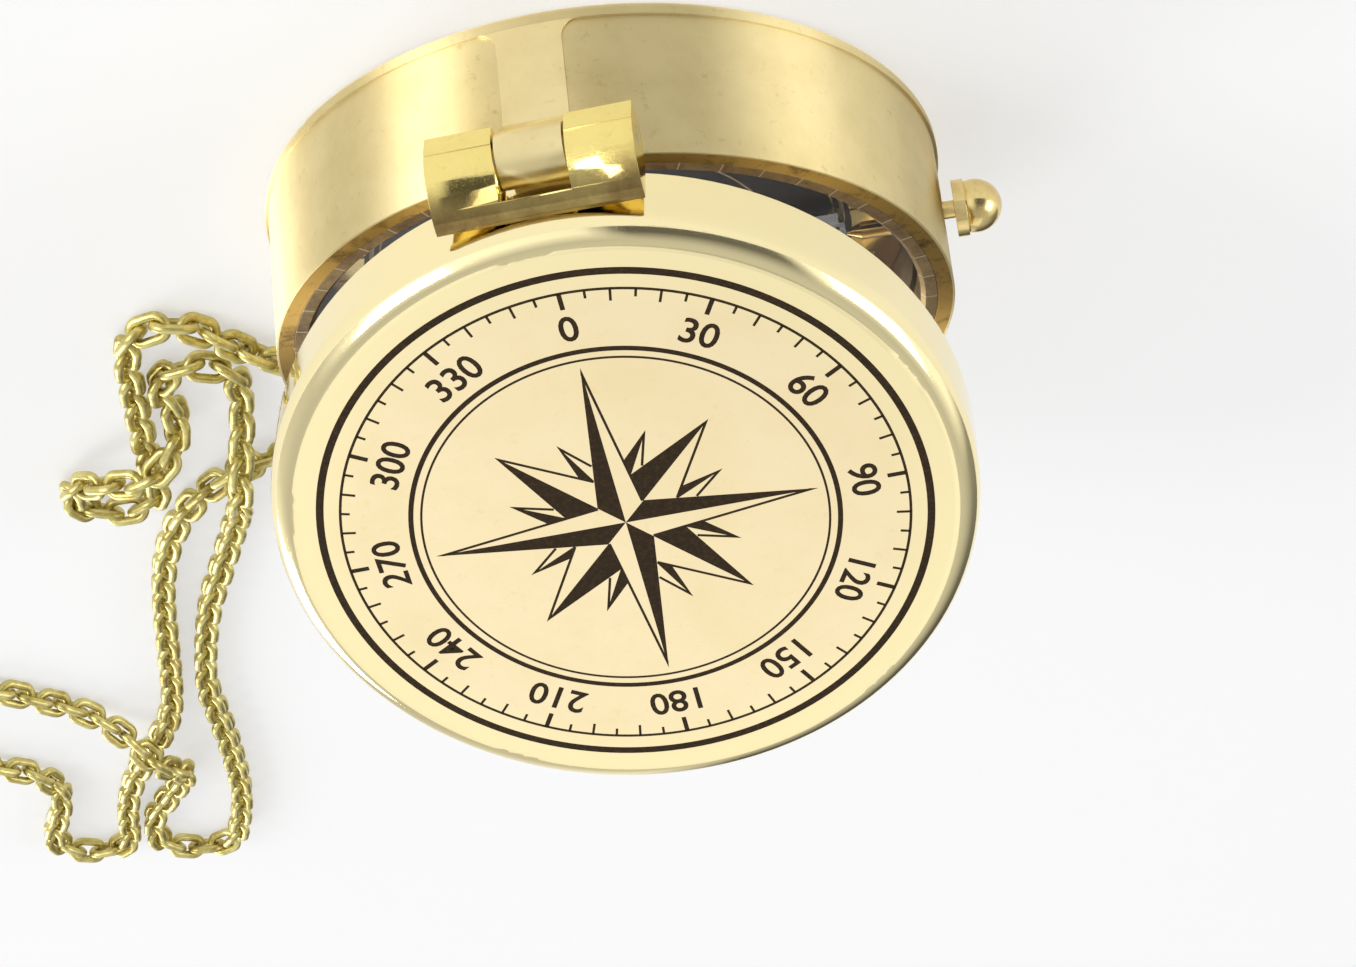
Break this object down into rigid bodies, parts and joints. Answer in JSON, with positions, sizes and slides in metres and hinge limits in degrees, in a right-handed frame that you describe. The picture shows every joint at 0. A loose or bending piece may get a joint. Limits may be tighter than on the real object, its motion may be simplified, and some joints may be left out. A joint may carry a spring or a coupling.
{
  "type": "pocket compass",
  "caption": "Lidded brass pocket compass with a hinged engraved lid, a free needle under glass, a side needle lock and a curb chain.",
  "frame": {"origin": "middle of the flat back face of the case, which the compass lies on", "axes": "+Z out of the open face of the case, -Y towards the lid's hinge, -X towards the needle-lock knob"},
  "size_m": [0.1713, 0.2117, 0.0608],
  "materials": {
    "case_brass": "polished with fine marks",
    "lid_brass": "polished, lightly brushed",
    "rim_brass": "machined, slightly tarnished",
    "bright_brass": "polished",
    "chain_brass": "satin",
    "steel": "plain",
    "blued_steel": "blued and polished",
    "dial_paint": "matt cream",
    "jewel": "polished stone",
    "glass": "clear"
  },
  "bodies": {
    "case": {"case_body": "case_brass", "hinge_leaf": "case_brass", "retaining_ring": "rim_brass", "glass": "glass", "dial_plate": "dial_paint", "degree_ring": "bright_brass", "dial_pillars": "case_brass", "dial_screws": "steel", "pivot_post": "bright_brass", "pivot_point": "steel", "lever_bracket": "bright_brass", "lever_screw": "steel", "lever_pin": "steel", "knob_bush": "bright_brass", "chain_stud": "bright_brass", "bail_ring": "chain_brass", "jump_rings": "chain_brass", "chain_near_loops": "chain_brass", "chain_run_out": "chain_brass", "chain_far_loop": "chain_brass", "chain_run_back": "chain_brass"},
    "lid": {"lid_shell": "lid_brass", "lid_inner_plate": "lid_brass", "hinge_block": "bright_brass", "hinge_pin": "steel"},
    "needle": {"needle": "blued_steel", "needle_cap": "bright_brass", "cap_jewel": "jewel"},
    "lever": {"brake_lever": "steel"},
    "knob": {"lock_knob": "bright_brass", "spindle_clip": "steel"}
  },
  "joints": [
    {"name": "lid_hinge", "type": "hinge", "parent": "case", "child": "lid", "pos_m": [0, -0.0411, 0.0195], "axis": [1, 0, 0], "range_deg": [-26, 80]},
    {"name": "needle_turn", "type": "hinge", "parent": "case", "child": "needle", "pos_m": [0, 0, 0.0088], "axis": [0, 0, 1], "continuous": true},
    {"name": "lock_slide", "type": "slide", "parent": "case", "child": "knob", "axis": [0.9986, -0.0523, 0], "range_m": [0, 0.0012]},
    {"name": "lever_tilt", "type": "hinge", "parent": "case", "child": "lever", "pos_m": [-0.01798, 0.00094, 0.0073], "axis": [-0.0523, -0.9986, 0], "range_deg": [0, 3]}
  ],
  "couplings": [
    {"joint": "lever_tilt", "follows": "lock_slide", "rad_per_m": 43.6}
  ]
}
